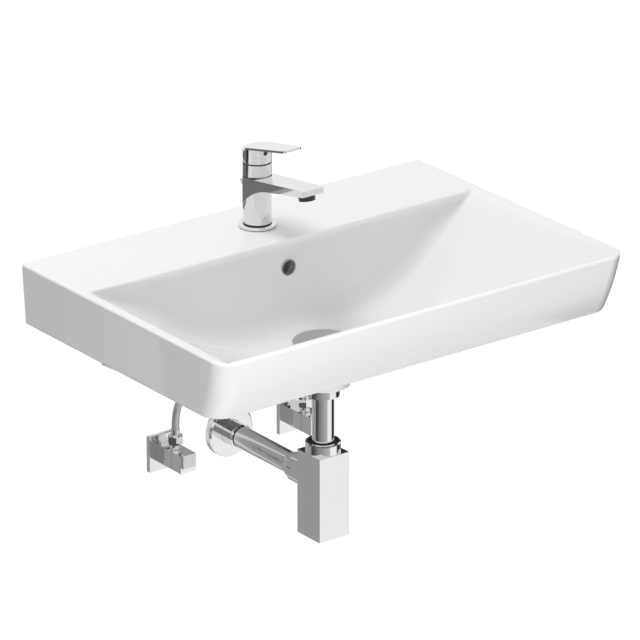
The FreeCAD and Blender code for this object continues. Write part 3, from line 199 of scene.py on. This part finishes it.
class Finish:
    """A node tree under construction, for a material or for the world."""

    def __init__(self, owner):
        owner.use_nodes = True
        self.owner = owner
        self.tree = owner.node_tree
        self.tree.nodes.clear()

    def node(self, kind, settings=None, sockets=None, out=0):
        """Add a node: its settings first, then the values or links of its sockets."""
        made = self.tree.nodes.new(f"ShaderNode{kind}")
        for name, value in (settings or {}).items():
            if name == "stops":
                self.set_stops(made.color_ramp.elements, value)
            else:
                setattr(made, name, value)
        for name, value in (sockets or {}).items():
            if isinstance(value, Link):
                self.tree.links.new(value.socket, made.inputs[name])
            else:
                made.inputs[name].default_value = value
        return Link(self, made.outputs[out]) if made.outputs else None

    @staticmethod
    def set_stops(elements, stops):
        while len(elements) < len(stops):
            elements.new(1.0)
        for element, (place, level) in zip(elements, stops):
            element.position = place
            element.color = grey(level)

    def close(self, surface, kind="OutputMaterial"):
        self.node(kind, None, {"Surface": surface})
        return self.owner

    def place(self, source="Object"):
        return self.node("TexCoord", out=source)

    def part_of(self, vector, axis):
        return self.node("SeparateXYZ", None, {"Vector": vector}, axis)

    def noise(self, scale, detail):
        sockets = {"Vector": self.place(), "Scale": scale, "Detail": detail}
        return self.node("TexNoise", None, sockets)

    def ramp(self, stops, factor):
        return self.node("ValToRGB", {"stops": stops}, {"Fac": factor})

    def blend(self, factor, first, second):
        """Mix two colours. The Mix node's colours are its inputs 6 and 7 and its output 2."""
        return self.node("Mix", {"data_type": "RGBA"}, {0: factor, 6: first, 7: second}, 2)

    def bump(self, height, strength, distance):
        return self.node("Bump", None, {"Height": height, "Strength": strength, "Distance": distance})

    def principled(self, **sockets):
        named = {name.replace("_", " "): value for name, value in sockets.items()}
        return self.node("BsdfPrincipled", None, named)

    def glow(self, colour, strength):
        return self.node("Emission", None, {"Color": colour, "Strength": strength})

    def mix(self, factor, first, second):
        """Mix two shaders."""
        return self.node("MixShader", None, {0: factor, 1: first, 2: second})


def grey(level):
    return (level, level, level, 1.0)


def new_finish(name):
    return Finish(bpy.data.materials.new(name))


# Materials
def glazed_ceramic():
    """White vitreous china under a clear glaze, with the faint waviness of a fired surface."""
    finish = new_finish("glazed_ceramic")
    cloud = finish.noise(scale=9.0, detail=3.0)
    wave = finish.noise(scale=38.0, detail=2.0)
    cool, warm = (0.86, 0.865, 0.87, 1), (0.89, 0.89, 0.885, 1)
    smoothest, cloudiness = 0.07, 0.05
    return finish.close(finish.principled(
        Base_Color=finish.blend(cloud, cool, warm), Roughness=cloud * cloudiness + smoothest,
        Specular_IOR_Level=0.5, Coat_Weight=0.5, Coat_Roughness=0.03,
        Normal=finish.bump(wave, strength=0.05, distance=0.0004)))


def polished_chrome():
    """Mirror chrome with the faint smears that polishing leaves."""
    finish = new_finish("polished_chrome")
    smear = finish.noise(scale=60.0, detail=4.0)
    dark, bright = (0.725, 0.73, 0.735, 1), (0.765, 0.77, 0.775, 1)
    smoothest, cloudiness = 0.025, 0.03
    return finish.close(finish.principled(
        Base_Color=finish.blend(smear, dark, bright), Metallic=1.0,
        Roughness=smear * cloudiness + smoothest,
        Normal=finish.bump(smear, strength=0.02, distance=0.0001)))


def raw_metal(name, dark, bright, smoothest):
    """Machined metal: fine turned scratches over a clouded base."""
    finish = new_finish(name)
    cloud = finish.noise(scale=120.0, detail=3.0)
    scratch = finish.noise(scale=2200.0, detail=1.0)
    cloudiness = 0.12
    return finish.close(finish.principled(
        Base_Color=finish.blend(cloud, dark, bright), Metallic=1.0,
        Roughness=cloud * cloudiness + smoothest,
        Normal=finish.bump(scratch, strength=0.12, distance=0.0002)))


def moulded(name, dark, bright, smoothest):
    """Moulded plastic or rubber with a fine grain."""
    finish = new_finish(name)
    cloud = finish.noise(scale=140.0, detail=2.0)
    grain = finish.noise(scale=1800.0, detail=2.0)
    cloudiness = 0.1
    return finish.close(finish.principled(
        Base_Color=finish.blend(cloud, dark, bright), Roughness=cloud * cloudiness + smoothest,
        Normal=finish.bump(grain, strength=0.15, distance=0.0002)))


def braided_wire():
    """Two sets of bright strands crossing each other round the hose."""
    finish = new_finish("braided_wire")
    along = finish.part_of(finish.place("UV"), "X")
    around = along.sibling("Y")
    rising = along * BRAID_TURNS + around * BRAID_STRANDS
    falling = along * BRAID_TURNS - around * BRAID_STRANDS
    one, two = (finish.node("Math", {"operation": "PINGPONG"}, {0: winding, 1: BRAID_HALF})
                for winding in (rising, falling))
    relief = finish.node("Math", {"operation": "MAXIMUM"}, {0: one, 1: two})
    gap, crown = (0.20, 0.205, 0.21, 1), (0.80, 0.81, 0.82, 1)
    roughest, polish = 0.42, 0.3
    return finish.close(finish.principled(
        Base_Color=finish.blend(relief * (1 / BRAID_HALF), gap, crown), Metallic=0.9,
        Roughness=roughest - relief * polish,
        Normal=finish.bump(relief, strength=0.6, distance=0.0008)))


finishes = {
    "ceramic": glazed_ceramic(),
    "chrome": polished_chrome(),
    "brass": raw_metal("machined_brass", (0.62, 0.46, 0.22, 1), (0.76, 0.60, 0.32, 1), 0.22),
    "steel": raw_metal("zinc_steel", (0.50, 0.51, 0.53, 1), (0.66, 0.67, 0.68, 1), 0.26),
    "rubber": moulded("black_rubber", (0.020, 0.020, 0.021, 1), (0.036, 0.036, 0.037, 1), 0.6),
    "plastic_white": moulded("white_plastic", (0.74, 0.74, 0.72, 1), (0.82, 0.82, 0.80, 1), 0.38),
    "plastic_dark": moulded("dark_plastic", (0.012, 0.012, 0.014, 1), (0.03, 0.03, 0.033, 1), 0.4),
    "plastic_grey": moulded("grey_plastic", (0.30, 0.31, 0.32, 1), (0.40, 0.41, 0.42, 1), 0.3),
    "ceramic_disc": moulded("ground_disc", (0.80, 0.79, 0.76, 1), (0.86, 0.85, 0.82, 1), 0.16),
    "hose_braid": braided_wire(),
    "satin_cap": raw_metal("satin_cap", (0.55, 0.555, 0.56, 1), (0.62, 0.625, 0.63, 1), 0.26),
    "gloss_black": moulded("gloss_black", (0.006, 0.006, 0.007, 1), (0.012, 0.012, 0.013, 1), 0.1),
}
# Pieces whose looks differ from the material of their slot
own_finish = {"plug_cap": "satin_cap", "aerator_housing": "gloss_black", "lever_plug": "gloss_black"}
slots = {}
for name, node in nodes.items():
    slots[name] = node.data.materials[0].name.split(".")[0]
    node.data.materials[0] = finishes[own_finish.get(name, slots[name])]


# Steps that several pieces share
def pick(piece):
    bpy.ops.object.select_all(action="DESELECT")
    piece.select_set(True)
    bpy.context.view_layer.objects.active = piece


def apply_modifiers(piece):
    pick(piece)
    for modifier in list(piece.modifiers):
        bpy.ops.object.modifier_apply(modifier=modifier.name)


def add_bevel(piece, width, steps, angle):
    bevel = piece.modifiers.new("edges", "BEVEL")
    bevel.limit_method = "ANGLE"
    bevel.angle_limit = angle
    bevel.width = width
    bevel.segments = steps


def settle(piece):
    """Put a new piece's place into its mesh, apply its modifiers and smooth it."""
    bpy.ops.object.transform_apply(location=True, rotation=True, scale=True)
    apply_modifiers(piece)
    bpy.ops.object.shade_smooth_by_angle(angle=SHARP_ANGLE)


# Castings and pressings with softly broken edges
def softened(name, width):
    """A merged copy of a node whose sharp edges get a narrow round."""
    node = nodes[name]
    piece = bpy.data.objects.new(f"{name}_softened", node.data.copy())
    bpy.context.scene.collection.objects.link(piece)
    pick(piece)
    bpy.ops.object.mode_set(mode="EDIT")
    bpy.ops.mesh.select_all(action="SELECT")
    bpy.ops.mesh.remove_doubles(threshold=MERGE_DISTANCE)
    bpy.ops.mesh.dissolve_limited(angle_limit=FLAT_ANGLE)
    bpy.ops.object.mode_set(mode="OBJECT")
    add_bevel(piece, width, SOFT_STEPS, SHARP_ANGLE)
    apply_modifiers(piece)
    bpy.ops.object.shade_smooth_by_angle(angle=SHARP_ANGLE)
    flat = piece.modifiers.new("flat_faces", "WEIGHTED_NORMAL")
    flat.keep_sharp = True
    flat.weight = FLAT_WEIGHT
    apply_modifiers(piece)
    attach(piece, node["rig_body"])
    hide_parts(name)


for name in TAP_CASTINGS:
    softened(name, TAP_EDGE)
for name in FITTINGS:
    softened(name, FITTING_EDGE)


# Aerator
def aerator_shell():
    """A round shell with a recessed mouth, square to the spout's sloping underside."""
    low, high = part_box("aerator_housing")
    bpy.ops.object.select_all(action="DESELECT")
    bpy.ops.mesh.primitive_cylinder_add(vertices=AERATOR_SIDES, radius=AERATOR_RADIUS, depth=AERATOR_LONG)
    piece = bpy.context.object
    piece.name = "aerator_shell"
    bpy.ops.object.mode_set(mode="EDIT")
    bpy.ops.mesh.select_mode(type="FACE")
    bpy.ops.mesh.select_all(action="DESELECT")
    bpy.ops.object.mode_set(mode="OBJECT")
    for face in piece.data.polygons:
        face.select = face.normal.z < FACING_DOWN
    bpy.ops.object.mode_set(mode="EDIT")
    bpy.ops.mesh.inset(thickness=AERATOR_WALL)
    bpy.ops.mesh.extrude_region_move(TRANSFORM_OT_translate={"value": (0, 0, AERATOR_RECESS)})
    bpy.ops.object.mode_set(mode="OBJECT")
    add_bevel(piece, AERATOR_EDGE, CORNER_STEPS, CORNER_ANGLE)
    piece.rotation_euler.x = AERATOR_TILT
    piece.location = (low + high) / 2 + Vector((0, 0, -AERATOR_LOWER))
    settle(piece)
    piece.data.materials.append(finishes["gloss_black"])
    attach(piece, "basin_fixed")
    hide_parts("aerator_housing")


aerator_shell()


# Black rings of painted shade that show in the tap's seams and at the end of the wall sleeve
def shade_ring(name, place, radius, wide, tilt=0.0):
    bpy.ops.object.select_all(action="DESELECT")
    bpy.ops.mesh.primitive_cylinder_add(vertices=ROUND_SIDES, radius=radius + SHADE_RING_PROUD, depth=wide,
                                        end_fill_type="NOTHING", location=place, rotation=(tilt, 0, 0))
    piece = bpy.context.object
    piece.name = name
    wall = piece.modifiers.new("wall", "SOLIDIFY")
    wall.thickness = SHADE_RING_THICK
    add_bevel(piece, SHADE_RING_EDGE, CORNER_STEPS, CORNER_ANGLE)
    settle(piece)
    # the black rubber of this ring is painted shade: a dark ring that stands for the shade in a seam
    piece.data.materials.append(finishes["rubber"])
    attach(piece, "basin_fixed")


seam_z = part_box("tap_body")[1].z - SEAM_SHADE_DROP
sleeve_low, sleeve_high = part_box("outlet_sleeve")
sleeve_end = (0, sleeve_low.y - PIPE_SHADE_WIDE / 2, (sleeve_low.z + sleeve_high.z) / 2)
shade_ring("tap_seam_shade", (0, TAP_Y, seam_z), TAP_RADIUS, SEAM_SHADE_WIDE)
shade_ring("spout_root_shade", (0, TAP_Y, ROOT_SHADE_Z), TAP_RADIUS, ROOT_SHADE_WIDE, ROOT_SHADE_TILT)
shade_ring("outlet_pipe_shade", sleeve_end, PIPE_RADIUS, PIPE_SHADE_WIDE, QUARTER_TURN)
shade_ring("tap_foot_shade", (0, TAP_Y, FOOT_SHADE_Z), TAP_RADIUS, FOOT_SHADE_WIDE)


# Hoses
def hose(word, side):
    """One braided hose on the smooth line that its route points guide."""
    line = bpy.data.curves.new(f"braided_hose_{word}", "CURVE")
    line.dimensions = "3D"
    line.bevel_depth = HOSE_RADIUS
    line.bevel_resolution = HOSE_ROUNDNESS
    line.resolution_u = HOSE_STEPS
    line.use_fill_caps = True
    spline = line.splines.new("NURBS")
    spline.points.add(len(HOSE_ROUTE) - 1)
    for point, (x, y, z) in zip(spline.points, HOSE_ROUTE):
        point.co = (-x * side, y, z, 1.0)
    spline.order_u = HOSE_ORDER
    spline.use_endpoint_u = True
    piece = bpy.data.objects.new(f"braided_hose_{word}", line)
    bpy.context.scene.collection.objects.link(piece)
    line.materials.append(finishes["hose_braid"])
    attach(piece, "basin_fixed")
    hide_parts(f"hose_{word}")


hose("left", -1)
hose("right", 1)


# Camera and studio
def make_camera():
    data = bpy.data.cameras.new("photo_camera")
    data.sensor_width = SENSOR
    data.lens = CAMERA_LENS
    data.clip_end = CAMERA_FAR
    camera = bpy.data.objects.new("photo_camera", data)
    bpy.context.scene.collection.objects.link(camera)
    back = CAMERA_BACK.normalized()
    right = CAMERA_RIGHT.normalized()
    up = back.cross(right)
    turn = Matrix((right, up, back)).transposed().to_4x4()
    camera.matrix_world = Matrix.Translation(CAMERA_PLACE) @ turn
    bpy.context.scene.camera = camera


def seen_directly(finish):
    """1 for what the camera, mirrors and glass see, 0 for what only lights the object."""
    camera = finish.node("LightPath", out="Is Camera Ray")
    rays = camera + camera.sibling("Is Glossy Ray") + camera.sibling("Is Transmission Ray")
    return finish.node("Clamp", None, {"Value": rays})


def make_world():
    """A soft grey dome for light, and plain white where it is seen."""
    world = bpy.data.worlds.new("studio")
    bpy.context.scene.world = world
    finish = Finish(world)
    height = finish.part_of(finish.place("Generated"), "Z") * 0.5 + 0.5
    light = finish.node("Background", None, {"Color": finish.ramp(DOME_GREYS, height), "Strength": 1.0})
    white = finish.node("Background", None, {"Color": grey(1.0), "Strength": 1.0})
    finish.close(finish.mix(seen_directly(finish), light, white), "OutputWorld")


def make_floor():
    """A pale floor at the height where a basin hangs above it. It is open from below."""
    bpy.ops.mesh.primitive_plane_add(size=FLOOR_SIZE, location=(0, 0, -FLOOR_DROP))
    floor = bpy.context.object
    floor.name = "studio_floor"
    finish = new_finish("studio_floor")
    matt = finish.node("BsdfDiffuse", None, {"Color": grey(FLOOR_TONE)})
    white = finish.glow(grey(1.0), FLOOR_GLOW)
    pale = finish.mix(seen_directly(finish) * (1 - SHADOW_SHARE), matt, white)
    under = finish.node("NewGeometry", out="Backfacing")
    clear = finish.node("BsdfTransparent")
    floor.data.materials.append(finish.close(finish.mix(under, pale, clear)))


def mirror_only(card):
    """Leave a backdrop to mirrors: it is neither seen by the camera nor lights or shades anything."""
    for kind in ("camera", "diffuse", "transmission", "volume_scatter", "shadow"):
        setattr(card, f"visible_{kind}", False)


def make_ring():
    """A wide ring of grey cards round the object, seen only by mirrors."""
    high = RING_TOP + FLOOR_DROP - CARD_LIFT
    bpy.ops.mesh.primitive_cylinder_add(vertices=ROUND_SIDES, radius=RING_RADIUS, depth=high,
                                        end_fill_type="NOTHING",
                                        location=(0, BASIN_Y, RING_TOP - high / 2))
    ring = bpy.context.object
    ring.name = "studio_ring"
    ring.rotation_euler.z = math.atan2(CAMERA_BACK.y, CAMERA_BACK.x)
    finish = new_finish("studio_ring")
    angle = finish.node("TexGradient", {"gradient_type": "RADIAL"}, {"Vector": finish.place()}, "Fac")
    low, high_up = (finish.ramp([(turn / FULL_TURN + 0.5, tone) for turn, tone in tones], angle)
                    for tones in (RING_LOW, RING_HIGH))
    rise = finish.part_of(finish.place(), "Z") / high + 0.5
    tone = finish.blend(rise, low, high_up)
    ring.data.materials.append(finish.close(finish.glow(tone, CARD_GLOW)))
    mirror_only(ring)


def make_card():
    """A grey card behind the fittings, where the wall would be, seen only by mirrors."""
    high = CARD_TOP + FLOOR_DROP - CARD_LIFT
    middle = CARD_TOP - high / 2
    bpy.ops.mesh.primitive_plane_add(size=1.0, location=(CARD_X, CARD_Y, middle),
                                     rotation=(QUARTER_TURN, 0, 0))
    card = bpy.context.object
    card.name = "studio_card"
    card.scale = (CARD_WIDE, high, 1)
    finish = new_finish("studio_card")
    across = finish.part_of(finish.place(), "X")
    upward = across.sibling("Y")
    low, high_up = (finish.ramp(tones, across + 0.5) for tones in (CARD_LOW, CARD_HIGH))
    over_step = (upward * high + (middle - CARD_STEP)) * CARD_STEP_SLOPE
    above = finish.node("Clamp", None, {"Value": over_step})
    tone = finish.blend(above, low, high_up)
    card.data.materials.append(finish.close(finish.glow(tone, CARD_GLOW)))
    mirror_only(card)


def area_light(name, place, wide, high, power):
    """A soft lamp aimed at the basin. Mirrors don't see it."""
    lamp = bpy.data.lights.new(name, "AREA")
    lamp.shape = "RECTANGLE"
    lamp.size = wide
    lamp.size_y = high
    lamp.energy = power
    piece = bpy.data.objects.new(name, lamp)
    bpy.context.scene.collection.objects.link(piece)
    aim = Vector((0, BASIN_Y, 0)) - Vector(place)
    piece.matrix_world = Matrix.Translation(place) @ aim.to_track_quat("-Z", "Y").to_matrix().to_4x4()
    piece.visible_glossy = False


make_camera()
make_world()
make_floor()
make_ring()
make_card()
area_light("top_light", place=(-0.6, 0.35, 2.85), wide=1.4, high=0.8, power=39.5)
area_light("front_light", place=(-1.3, -2.9, 0.0), wide=1.4, high=0.3, power=58.0)

bpy.context.scene.view_settings.view_transform = "Standard"
